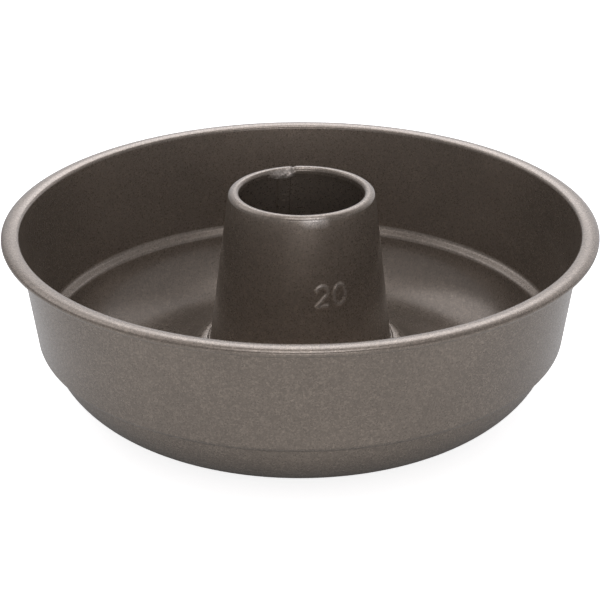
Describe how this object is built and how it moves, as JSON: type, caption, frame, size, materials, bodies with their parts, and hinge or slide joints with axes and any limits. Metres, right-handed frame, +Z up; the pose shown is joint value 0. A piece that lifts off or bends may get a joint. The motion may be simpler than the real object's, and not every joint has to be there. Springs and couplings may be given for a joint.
{
  "type": "ring mould",
  "caption": "Round steel ring mould with a rolled rim, a stepped wall, a rounded trough and a clamped conical centre tube open at both ends.",
  "frame": {"origin": "on the mould's axis, in the plane that the pan stands on", "axes": "+Z up along the tube, the tube's lock seam is at the back (+Y), 14 degrees towards -X"},
  "size_m": [0.2128, 0.2128, 0.0755],
  "materials": {
    "pan_coating": "bronze grey non-stick coating with a fine metallic speckle, satin",
    "tube_coating": "bronze grey non-stick coating with a fine metallic speckle, satin"
  },
  "bodies": {
    "root": {"pan": "pan_coating", "tube": "tube_coating"}
  },
  "joints": []
}
